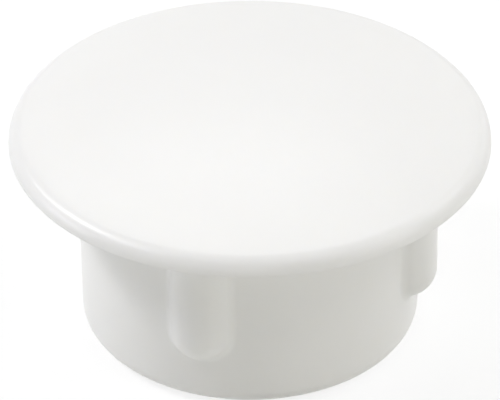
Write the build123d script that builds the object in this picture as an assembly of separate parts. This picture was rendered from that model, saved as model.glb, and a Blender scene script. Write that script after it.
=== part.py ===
from build123d import *
import os
from math import radians, sqrt, tan

# Cover cap for a screw hole in a panel: a low domed head on a short hollow stem with
# four crush ribs, moulded in one piece of white plastic.
# Millimetres, +Z up. The origin is on the axis, in the plane of the head's underside,
# which lies on the panel. The stem points down into the hole.

# The drilled hole, and how the stem sits in it
hole_diameter = 10.0
stem_clearance = 0.33
rib_crush = 0.25

# Head
head_diameter = 13.0
head_height = 0.93
head_thickness = 1.10
rim_land = 0.03
rim_round = 0.46

# Stem
stem_length = 5.60
stem_draft = 1.0
stem_wall = 1.0
stem_end_round = 0.54

# Hollow inside the stem
hollow_draft = 0.7
ceiling_round = 0.40
mouth_round = 0.12

# Crush ribs: round across, with a ball-shaped lower end
rib_count = 4
rib_radius = 0.85
rib_length = 4.09
rib_foot_round = 0.12

# Sizes that follow from the values above
head_radius = head_diameter / 2
stem_radius = hole_diameter / 2 - stem_clearance
stem_end_radius = stem_radius - stem_length * tan(radians(stem_draft))
rib_reach = hole_diameter / 2 + rib_crush
ceiling_height = head_height - head_thickness
mouth_radius = stem_end_radius - stem_wall
ceiling_radius = mouth_radius - (ceiling_height + stem_length) * tan(radians(hollow_draft))


def dome_height_at_rim():
    """Height of the dome's arc above the head's edge, before the rim is rounded.

    The arc's centre is on the axis, and the arc touches the rim's rounding, which
    starts at the top of the upright land.
    """
    rim_centre_radius = head_radius - rim_round
    rise = head_height - rim_land
    dome_radius = (rim_centre_radius**2 + rise**2 - rim_round**2) / (2 * (rise - rim_round))
    return head_height - dome_radius + sqrt(dome_radius**2 - head_radius**2)


def turned(outline, corner, radius):
    """A solid turned from a half section, drawn as (radius, height), with one corner rounded."""
    section = make_face(outline)
    vertex = section.vertices().sort_by_distance(Vector(*corner))[0]
    return revolve(Plane.XZ * fillet(vertex, radius), Axis.Z)


def head():
    """The domed head, with a flat underside and a rounded upper edge."""
    underside_centre = (0, 0)
    apex = (0, head_height)
    rim_top = (head_radius, dome_height_at_rim())
    rim_bottom = (head_radius, 0)
    dome = TangentArc(apex, rim_top, tangent=(1, 0))
    sides = Polyline(rim_top, rim_bottom, underside_centre, apex)
    return turned(dome + sides, rim_top, rim_round)


def solid_stem():
    """The stem before it is hollowed, with its draft and its rounded lower end."""
    top_centre = (0, 0)
    neck = (stem_radius, 0)
    end_edge = (stem_end_radius, -stem_length)
    end_centre = (0, -stem_length)
    sides = Polyline(top_centre, neck, end_edge, end_centre, top_centre)
    return turned(sides, end_edge, stem_end_round)


def crush_rib():
    """The rib on the +X side: an upright post, half sunk in the stem, with a ball-shaped end."""
    ball_depth = rib_length - rib_radius
    post = Cylinder(rib_radius, ball_depth, align=(Align.CENTER, Align.CENTER, Align.MAX))
    ball = Pos(0, 0, -ball_depth) * Sphere(rib_radius)
    return Pos(rib_reach - rib_radius, 0, 0) * (post + ball)


def ribbed_stem():
    """The stem with its ribs evenly spaced round it and small rounds along their feet."""
    stem = solid_stem() + PolarLocations(0, rib_count) * crush_rib()
    rib_feet = stem.edges().filter_by(GeomType.BSPLINE)
    return fillet(rib_feet, rib_foot_round)


def hollow():
    """The space inside the stem: a little wider at its mouth, with a rounded ceiling corner."""
    ceiling_centre = (0, ceiling_height)
    ceiling_corner = (ceiling_radius, ceiling_height)
    mouth_edge = (mouth_radius, -stem_length)
    mouth_centre = (0, -stem_length)
    sides = Polyline(ceiling_centre, ceiling_corner, mouth_edge, mouth_centre, ceiling_centre)
    return turned(sides, ceiling_corner, ceiling_round)


def cover_cap():
    """The whole cap, with the edge of the stem's mouth rounded last."""
    cap = head() + ribbed_stem() - hollow()
    mouth_edge = cap.edges().group_by(Axis.Z)[0].sort_by(SortBy.LENGTH)[0]
    return fillet(mouth_edge, mouth_round)


os.makedirs("parts", exist_ok=True)
export_step(cover_cap(), "parts/cover_cap.step")
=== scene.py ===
from math import atan2, cos, pi, radians, sin, tan

import bpy
import numpy as np
from mathutils import Euler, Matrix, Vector


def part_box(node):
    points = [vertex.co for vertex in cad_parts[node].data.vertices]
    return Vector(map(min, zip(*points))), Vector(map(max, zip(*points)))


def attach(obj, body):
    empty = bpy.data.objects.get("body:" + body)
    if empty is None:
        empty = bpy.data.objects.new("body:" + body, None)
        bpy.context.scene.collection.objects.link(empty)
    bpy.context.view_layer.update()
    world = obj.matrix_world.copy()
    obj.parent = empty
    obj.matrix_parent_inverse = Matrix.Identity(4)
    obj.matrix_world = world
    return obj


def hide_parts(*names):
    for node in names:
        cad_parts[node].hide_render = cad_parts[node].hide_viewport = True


# A screw cover cap: one moulding of white plastic, standing on the end of its stem.
# Metres, +Z up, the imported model's own frame: the origin is on the cap's axis, in the
# plane of the head's underside.

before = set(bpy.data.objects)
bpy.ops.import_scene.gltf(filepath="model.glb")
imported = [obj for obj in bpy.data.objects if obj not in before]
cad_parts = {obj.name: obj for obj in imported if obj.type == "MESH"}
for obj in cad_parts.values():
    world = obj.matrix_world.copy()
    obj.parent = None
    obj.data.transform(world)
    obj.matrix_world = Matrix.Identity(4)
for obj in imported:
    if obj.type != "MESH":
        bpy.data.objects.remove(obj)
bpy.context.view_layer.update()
cap_low, cap_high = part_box("cover_cap")

# Head. Its radius and height come from the frame.
HEAD_RADIUS = cap_high.x
HEAD_HEIGHT = cap_high.z
HEAD_THICKNESS = 1.10e-3
RIM_LAND = 0.03e-3
RIM_ROUND = 0.46e-3

# Stem. Its length comes from the frame.
STEM_LENGTH = -cap_low.z
STEM_RADIUS = 4.67e-3
STEM_DRAFT = radians(1.0)
STEM_WALL = 1.0e-3
STEM_END_ROUND = 0.54e-3
NECK_ROUND = 0.06e-3

# Hollow inside the stem. The gate left a shallow dish in its ceiling, with a low nub.
HOLLOW_DRAFT = radians(0.7)
CEILING_HEIGHT = HEAD_HEIGHT - HEAD_THICKNESS
CEILING_ROUND = 0.40e-3
MOUTH_ROUND = 0.12e-3
GATE_RADIUS = 0.50e-3
GATE_DEPTH = 0.06e-3
NUB_RADIUS = 0.20e-3
NUB_HEIGHT = 0.072e-3

# Crush ribs: round across, with a ball-shaped lower end
RIB_COUNT = 4
RIB_RADIUS = 0.85e-3
RIB_REACH = 5.25e-3
RIB_LENGTH = 4.09e-3
RIB_FOOT_BLEND = 0.16e-3

# White plastic. Its shade, gloss and surface change a little in soft patches of these
# sizes, and a share of the light goes a short way into it, red the furthest.
SHADES = ((0.903, 0.902, 0.881, 1), (0.923, 0.922, 0.903, 1))
SHADE_PATCH = 3.0e-3
ROUGHNESS = (0.27, 0.37)
GLOSS_PATCH = 0.9e-3
REFRACTION = 1.51
INNER_LIGHT_SHARE = 0.35
INNER_LIGHT_DEPTH = 0.5e-3
INNER_LIGHT_REACH = (1.0, 0.97, 0.90)
BUMP_STRENGTH = 0.5
FLOW_PATCH = 1.2e-3
FLOW_DEPTH = 2.0e-6
GRAIN_PATCH = 0.09e-3
GRAIN_DEPTH = 0.4e-6

# Camera, at the photograph's angle: a long lens that looks down from -Y, turned towards +X
LENS_MM = 447.0
SENSOR_MM = 36.0
CAMERA_DISTANCE = 167.1e-3
CAMERA_AZIMUTH = radians(16.9)
CAMERA_ELEVATION = radians(33.79)
CAMERA_ROLL = radians(-0.126)
CAMERA_AIM = Vector((0, 0, -1.98e-3))
CLIP_START = 0.01
CLIP_END = 10.0

# Softboxes, all at the same distance: name, azimuth and elevation in degrees, width and
# height, power in watts, tint
LAMP_DISTANCE = 0.30
NEUTRAL = (1.0, 1.0, 1.0)
COOL = (0.925, 0.92, 1.0)
WARM = (1.0, 0.965, 0.91)
SOFTBOXES = (
    ("left_key", -78, 46, 0.06, 0.05, 0.271, NEUTRAL),
    ("left_back", -62, 34, 0.06, 0.06, 0.082, NEUTRAL),
    ("left_high", -106, 50, 0.07, 0.07, 0.122, COOL),
    ("left_low", -90, 12, 0.12, 0.12, 0.166, COOL),
    ("right_wall", 95, 35, 0.35, 0.25, 0.257, NEUTRAL),
    ("right_key", 100, 44, 0.12, 0.10, 0.049, NEUTRAL),
    ("right_back", 58, 40, 0.08, 0.08, 0.085, NEUTRAL),
    ("right_high", 135, 62, 0.14, 0.12, 0.084, NEUTRAL),
    ("right_low", 120, 14, 0.16, 0.12, 0.121, WARM),
    ("front_low", 180, 12, 0.12, 0.12, 0.091, WARM),
    ("front_left_low", -140, 12, 0.12, 0.12, 0.039, NEUTRAL),
    ("back_high", 0, 62, 0.30, 0.10, 0.096, NEUTRAL),
    ("back_strip", -3, 44, 0.10, 0.05, 0.064, NEUTRAL),
    ("back_low", 0, 30, 0.20, 0.10, 0.039, WARM),
    ("horizon", 45, 10, 0.20, 0.10, 0.070, COOL),
)

# Floor. Its tint is what it reflects onto the cap. Where it is seen, it is a white glow
# and a share of shaded white, so that the shadow on it stays light. It reaches only a
# little way under the ring that the stem stands on.
FLOOR_RADIUS = 0.6
FLOOR_TINT = (0.700, 0.705, 0.67, 1)
FLOOR_GLOW = 0.78
SHADOW_SHARE = 0.28
REACH_UNDER_RING = 0.03e-3

# World. Its light from below fades in between the horizon and a slope of this sine.
LIGHT_FROM_BELOW = 0.4
FADE_SINE = 0.1


def arc(centre, radius, start, end, steps):
    """Points (radius, height) along an arc. Angles are from the horizontal, anticlockwise."""
    angles = np.linspace(start, end, steps + 1)
    return [(centre[0] + radius * cos(a), centre[1] + radius * sin(a)) for a in angles]


def straight(start, end, steps):
    """Evenly spaced points along a line, both ends included."""
    return [tuple(p) for p in np.linspace(start, end, steps + 1)]


def swell(r, radius, height):
    """Height of a smooth round swelling at a distance from its middle, 0 outside it."""
    return height * (1 + cos(pi * r / radius)) / 2 if r < radius else 0


def head_outline():
    """The dome, the rounded rim and the small round under it, from the apex outwards."""
    rim_centre = (HEAD_RADIUS - RIM_ROUND, RIM_LAND)
    rise = HEAD_HEIGHT - RIM_LAND
    dome_radius = (rim_centre[0]**2 + rise**2 - RIM_ROUND**2) / (2 * (rise - RIM_ROUND))
    dome_centre = (0, HEAD_HEIGHT - dome_radius)
    rim_start = atan2(rim_centre[1] - dome_centre[1], rim_centre[0])
    edge_centre = (HEAD_RADIUS - RIM_LAND, RIM_LAND)
    dome = arc(dome_centre, dome_radius, pi / 2, rim_start, steps=36)
    rim = arc(rim_centre, RIM_ROUND, rim_start, 0, steps=16)
    edge = arc(edge_centre, RIM_LAND, 0, -pi / 2, steps=4)
    return dome[1:] + rim[1:] + edge[1:]


def stem_radius_at(z):
    """Radius of the drafted stem at a height, which is negative below the head."""
    return STEM_RADIUS + z * tan(STEM_DRAFT)


def hollow_radius_at(z):
    """Radius of the hollow at a height. It is widest at its mouth."""
    mouth_radius = stem_radius_at(-STEM_LENGTH) - STEM_WALL
    return mouth_radius - (z + STEM_LENGTH) * tan(HOLLOW_DRAFT)


def stem_end_outline():
    """The rounded end of the stem, the ring that it stands on and the rounded mouth."""
    end_centre_z = STEM_END_ROUND - STEM_LENGTH
    touch_z = end_centre_z - STEM_END_ROUND * sin(STEM_DRAFT)
    end_centre = (stem_radius_at(touch_z) - STEM_END_ROUND * cos(STEM_DRAFT), end_centre_z)
    end_round = arc(end_centre, STEM_END_ROUND, -STEM_DRAFT, -pi / 2, steps=12)
    mouth_touch_z = MOUTH_ROUND * (1 - sin(HOLLOW_DRAFT)) - STEM_LENGTH
    mouth_centre = (
        hollow_radius_at(mouth_touch_z) + MOUTH_ROUND * cos(HOLLOW_DRAFT),
        MOUTH_ROUND - STEM_LENGTH,
    )
    ring = straight(end_round[-1], (mouth_centre[0], -STEM_LENGTH), steps=6)
    mouth = arc(mouth_centre, MOUTH_ROUND, -pi / 2, -pi - HOLLOW_DRAFT, steps=6)
    return end_round + ring[1:] + mouth[1:]


def hollow_outline(mouth):
    """The hollow's wall, up from the mouth, its rounded ceiling corner and the gate's mark."""
    corner_z = CEILING_HEIGHT - CEILING_ROUND
    wall_top_z = corner_z + CEILING_ROUND * sin(HOLLOW_DRAFT)
    wall_top = (hollow_radius_at(wall_top_z), wall_top_z)
    corner_centre = (wall_top[0] - CEILING_ROUND * cos(HOLLOW_DRAFT), corner_z)
    wall = straight(mouth, wall_top, steps=14)
    corner = arc(corner_centre, CEILING_ROUND, HOLLOW_DRAFT, pi / 2, steps=8)
    ceiling = straight(corner[-1], (GATE_RADIUS, CEILING_HEIGHT), steps=10)
    gate = [(r, ceiling_height_at(r)) for r in np.linspace(GATE_RADIUS, 0, num=11)]
    return wall[1:] + corner[1:] + ceiling[1:] + gate[1:-1]


def ceiling_height_at(r):
    """Height of the hollow's ceiling across the gate's mark."""
    return CEILING_HEIGHT + swell(r, GATE_RADIUS, GATE_DEPTH) - swell(r, NUB_RADIUS, NUB_HEIGHT)


def column_angles():
    """Angles of the mesh's columns, close together along the feet of the ribs.

    Half a rib and half the gap beside it are set out in degrees, mirrored and repeated.
    """
    spacing = 360 / RIB_COUNT
    foot_start = 7.2
    foot_end = 13.7
    rib_crown = np.arange(0.0, foot_start, step=0.8)
    rib_foot = np.arange(foot_start, foot_end, step=0.25)
    plain_stem = np.linspace(foot_end, spacing / 2, num=14)
    half = np.concatenate([rib_crown, rib_foot, plain_stem])
    whole = np.concatenate([half, spacing - half[-2:0:-1]])
    return np.radians(np.concatenate([whole + i * spacing for i in range(RIB_COUNT)]))


def wall_rows():
    """Heights of the mesh's rows down the stem: close together round the ribs' lower ends."""
    foot_margin = 0.15e-3
    ball_centre = RIB_RADIUS - RIB_LENGTH
    foot_end = -RIB_LENGTH - foot_margin
    wall_end = STEM_END_ROUND * (1 - sin(STEM_DRAFT)) - STEM_LENGTH
    upper = np.linspace(-NECK_ROUND, ball_centre, num=14)
    ball = ball_centre + (foot_end - ball_centre) * np.sin(np.linspace(0, pi / 2, num=44))
    lower = np.linspace(foot_end, wall_end, num=7)
    return np.concatenate([upper[1:], ball[1:], lower[1:-1]])


def outer_wall(angles, z):
    """Radius of the stem's outside at each angle, with the ribs blended softly into it.

    The radius is found by halving: the blended distance to the stem and the nearest rib
    is negative inside them and positive outside.
    """
    halvings = 32
    spacing = 2 * pi / RIB_COUNT
    off_rib = (angles + spacing / 2) % spacing - spacing / 2
    rib_centre = RIB_REACH - RIB_RADIUS
    below_ball = min(z - (RIB_RADIUS - RIB_LENGTH), 0)
    low = np.full_like(angles, stem_radius_at(z) - RIB_FOOT_BLEND)
    high = np.full_like(angles, RIB_REACH + RIB_FOOT_BLEND)
    for _ in range(halvings):
        r = (low + high) / 2
        to_stem = r - stem_radius_at(z)
        across = (r * np.cos(off_rib) - rib_centre)**2 + (r * np.sin(off_rib))**2
        to_rib = np.sqrt(across + below_ball**2) - RIB_RADIUS
        outside = blended(to_stem, to_rib, RIB_FOOT_BLEND) > 0
        high = np.where(outside, r, high)
        low = np.where(outside, low, r)
    return (low + high) / 2


def blended(first, second, blend):
    """Distance to two joined shapes, with a round where they meet."""
    near_first = np.maximum(blend - first, 0)
    near_second = np.maximum(blend - second, 0)
    return np.maximum(np.minimum(first, second), blend) - np.hypot(near_first, near_second)


def cap_grid(angles):
    """Radii and heights of every row and column of the cap's skin, from apex to gate.

    The rows under the head lie closer together near the rim and near the neck.
    """
    underside_shares = (0.02, 0.15, 0.3, 0.45, 0.6, 0.75, 0.88, 0.97, 1.0)
    rows = [(np.full_like(angles, r), z) for r, z in head_outline()]
    edge_radius = rows[-1][0]
    neck = outer_wall(angles, -NECK_ROUND)
    for share in underside_shares:
        rows.append((edge_radius + share * (neck + NECK_ROUND - edge_radius), 0))
    for turn in np.linspace(0, pi / 2, num=6)[1:]:
        rows.append((neck + NECK_ROUND * (1 - sin(turn)), NECK_ROUND * (cos(turn) - 1)))
    rows += [(outer_wall(angles, z), z) for z in wall_rows()]
    end = stem_end_outline()
    inside = end + hollow_outline(end[-1])
    rows += [(np.full_like(angles, r), z) for r, z in inside]
    return rows


def cap_mesh():
    """The whole moulding as one closed mesh: a grid turned about the axis, with two poles."""
    angles = column_angles()
    rows = cap_grid(angles)
    columns = len(angles)
    points = [(0, 0, HEAD_HEIGHT)]
    for r, z in rows:
        points += [(x, y, z) for x, y in zip(r * np.cos(angles), r * np.sin(angles))]
    points.append((0, 0, ceiling_height_at(0)))
    last_row = 1 + (len(rows) - 1) * columns
    faces = []
    for i in range(columns):
        j = (i + 1) % columns
        faces.append((0, 1 + i, 1 + j))
        faces.append((len(points) - 1, last_row + j, last_row + i))
        for start in range(1, last_row, columns):
            below = start + columns
            faces.append((start + i, below + i, below + j, start + j))
    mesh = bpy.data.meshes.new("cap_moulding")
    mesh.from_pydata(points, [], faces)
    mesh.shade_smooth()
    return mesh


def add_node(tree, kind, **inputs):
    """A shader node with its input values set. A space in an input's name is an underscore."""
    node = tree.nodes.new(kind)
    for name, value in inputs.items():
        node.inputs[name.replace("_", " ")].default_value = value
    return node


def noise(tree, place, patch, detail):
    """Noise whose patches are about this many metres across."""
    node = add_node(tree, "ShaderNodeTexNoise", Scale=1 / patch, Detail=detail)
    tree.links.new(place.outputs["Object"], node.inputs["Vector"])
    return node.outputs["Fac"]


def white_plastic():
    """White moulded plastic with a satin gloss: light goes a little way into it."""
    material = bpy.data.materials.new("white_plastic")
    material.use_nodes = True
    tree = material.node_tree
    link = tree.links.new
    shader = tree.nodes["Principled BSDF"]
    shader.inputs["IOR"].default_value = REFRACTION
    shader.inputs["Subsurface Weight"].default_value = INNER_LIGHT_SHARE
    shader.inputs["Subsurface Radius"].default_value = INNER_LIGHT_REACH
    shader.inputs["Subsurface Scale"].default_value = INNER_LIGHT_DEPTH
    place = tree.nodes.new("ShaderNodeTexCoord")

    shade = tree.nodes.new("ShaderNodeMix")
    shade.data_type = "RGBA"
    shade.inputs["A"].default_value = SHADES[0]
    shade.inputs["B"].default_value = SHADES[1]
    link(noise(tree, place, SHADE_PATCH, detail=3), shade.inputs["Factor"])
    link(shade.outputs["Result"], shader.inputs["Base Color"])

    gloss = add_node(tree, "ShaderNodeMapRange", To_Min=ROUGHNESS[0], To_Max=ROUGHNESS[1])
    link(noise(tree, place, GLOSS_PATCH, detail=4), gloss.inputs["Value"])
    link(gloss.outputs["Result"], shader.inputs["Roughness"])

    flow = add_node(tree, "ShaderNodeBump", Strength=BUMP_STRENGTH, Distance=FLOW_DEPTH)
    link(noise(tree, place, FLOW_PATCH, detail=2), flow.inputs["Height"])
    grain = add_node(tree, "ShaderNodeBump", Strength=BUMP_STRENGTH, Distance=GRAIN_DEPTH)
    link(noise(tree, place, GRAIN_PATCH, detail=3), grain.inputs["Height"])
    link(flow.outputs["Normal"], grain.inputs["Normal"])
    link(grain.outputs["Normal"], shader.inputs["Normal"])
    return material


def add_cap():
    """The cap's one piece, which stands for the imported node."""
    cap = bpy.data.objects.new("cap_moulding", cap_mesh())
    bpy.context.scene.collection.objects.link(cap)
    cap.data.materials.append(white_plastic())
    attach(cap, "root")
    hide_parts("cover_cap")


def seen_directly(tree):
    """1 for what the camera sees, straight on or in a reflection, and 0 for other light."""
    path = tree.nodes.new("ShaderNodeLightPath")
    total = path.outputs["Is Camera Ray"]
    for name in ("Is Glossy Ray", "Is Transmission Ray"):
        either = tree.nodes.new("ShaderNodeMath")
        either.operation = "MAXIMUM"
        tree.links.new(total, either.inputs[0])
        tree.links.new(path.outputs[name], either.inputs[1])
        total = either.outputs[0]
    return total


def floor_material():
    """White where it is seen, with a light shadow, and open to what looks up from below."""
    material = bpy.data.materials.new("floor")
    material.use_nodes = True
    tree = material.node_tree
    tree.nodes.clear()
    link = tree.links.new
    shaded_white = (SHADOW_SHARE, SHADOW_SHARE, SHADOW_SHARE, 1)
    bounce = add_node(tree, "ShaderNodeBsdfDiffuse", Color=FLOOR_TINT)
    shaded = add_node(tree, "ShaderNodeBsdfDiffuse", Color=shaded_white)
    glow = add_node(tree, "ShaderNodeEmission", Strength=FLOOR_GLOW)
    seen = tree.nodes.new("ShaderNodeAddShader")
    link(shaded.outputs[0], seen.inputs[0])
    link(glow.outputs[0], seen.inputs[1])
    top = tree.nodes.new("ShaderNodeMixShader")
    link(seen_directly(tree), top.inputs[0])
    link(bounce.outputs[0], top.inputs[1])
    link(seen.outputs[0], top.inputs[2])
    side = tree.nodes.new("ShaderNodeNewGeometry")
    from_below = tree.nodes.new("ShaderNodeBsdfTransparent")
    both = tree.nodes.new("ShaderNodeMixShader")
    link(side.outputs["Backfacing"], both.inputs[0])
    link(top.outputs[0], both.inputs[1])
    link(from_below.outputs[0], both.inputs[2])
    output = tree.nodes.new("ShaderNodeOutputMaterial")
    link(both.outputs[0], output.inputs["Surface"])
    return material


def add_floor():
    """A wide pale floor with a round hole under the hollow, hidden by the ring of the stem."""
    hole_radius = stem_radius_at(-STEM_LENGTH) - STEM_END_ROUND - REACH_UNDER_RING
    columns = 96
    points = []
    for r in (hole_radius, FLOOR_RADIUS):
        for i in range(columns):
            turn = 2 * pi * i / columns
            points.append((r * cos(turn), r * sin(turn), cap_low.z))
    faces = []
    for i in range(columns):
        j = (i + 1) % columns
        faces.append((i, columns + i, columns + j, j))
    mesh = bpy.data.meshes.new("floor")
    mesh.from_pydata(points, [], faces)
    mesh.materials.append(floor_material())
    floor = bpy.data.objects.new("floor", mesh)
    bpy.context.scene.collection.objects.link(floor)


def studio_direction(azimuth, elevation):
    """Unit vector towards a place in the studio, in degrees.

    Azimuth 0 is behind the cap as the camera sees it, 90 to its right, -90 to its left.
    """
    turn = CAMERA_AZIMUTH - radians(azimuth)
    flat = cos(radians(elevation))
    return Vector((-sin(turn) * flat, cos(turn) * flat, sin(radians(elevation))))


def add_softbox(name, azimuth, elevation, width, height, power, tint):
    """A soft rectangular lamp that faces the cap."""
    data = bpy.data.lights.new(name, "AREA")
    data.shape = "RECTANGLE"
    data.size = width
    data.size_y = height
    data.energy = power
    data.color = tint
    lamp = bpy.data.objects.new(name, data)
    towards = studio_direction(azimuth, elevation)
    lamp.location = towards * LAMP_DISTANCE
    lamp.rotation_euler = towards.to_track_quat("Z", "Y").to_euler()
    bpy.context.scene.collection.objects.link(lamp)


def add_world():
    """White where it is seen, with a pale light from below that reaches only the hollow."""
    world = bpy.data.worlds.new("studio")
    bpy.context.scene.world = world
    world.use_nodes = True
    tree = world.node_tree
    tree.nodes.clear()
    link = tree.links.new
    place = tree.nodes.new("ShaderNodeTexCoord")
    split = tree.nodes.new("ShaderNodeSeparateXYZ")
    link(place.outputs["Generated"], split.inputs["Vector"])
    fade = add_node(tree, "ShaderNodeMapRange", From_Max=-FADE_SINE, To_Max=LIGHT_FROM_BELOW)
    link(split.outputs["Z"], fade.inputs["Value"])
    below = add_node(tree, "ShaderNodeBackground", Color=(1, 1, 1, 1))
    link(fade.outputs["Result"], below.inputs["Strength"])
    white = add_node(tree, "ShaderNodeBackground", Color=(1, 1, 1, 1), Strength=1.0)
    mix = tree.nodes.new("ShaderNodeMixShader")
    link(seen_directly(tree), mix.inputs[0])
    link(below.outputs[0], mix.inputs[1])
    link(white.outputs[0], mix.inputs[2])
    output = tree.nodes.new("ShaderNodeOutputWorld")
    link(mix.outputs[0], output.inputs["Surface"])


def add_camera():
    """The camera, aimed at the middle of the cap and rolled a little, as the photograph is."""
    data = bpy.data.cameras.new("camera")
    data.sensor_width = SENSOR_MM
    data.lens = LENS_MM
    data.clip_start = CLIP_START
    data.clip_end = CLIP_END
    camera = bpy.data.objects.new("camera", data)
    flat = cos(CAMERA_ELEVATION)
    towards = Vector((sin(CAMERA_AZIMUTH) * flat, -cos(CAMERA_AZIMUTH) * flat, sin(CAMERA_ELEVATION)))
    camera.location = towards * CAMERA_DISTANCE
    look = (CAMERA_AIM - camera.location).to_track_quat("-Z", "Y")
    camera.rotation_mode = "QUATERNION"
    camera.rotation_quaternion = look @ Euler((0, 0, CAMERA_ROLL)).to_quaternion()
    bpy.context.scene.collection.objects.link(camera)
    bpy.context.scene.camera = camera


bpy.context.scene.view_settings.view_transform = "Standard"
add_camera()
add_world()
for softbox in SOFTBOXES:
    add_softbox(*softbox)
add_floor()
add_cap()
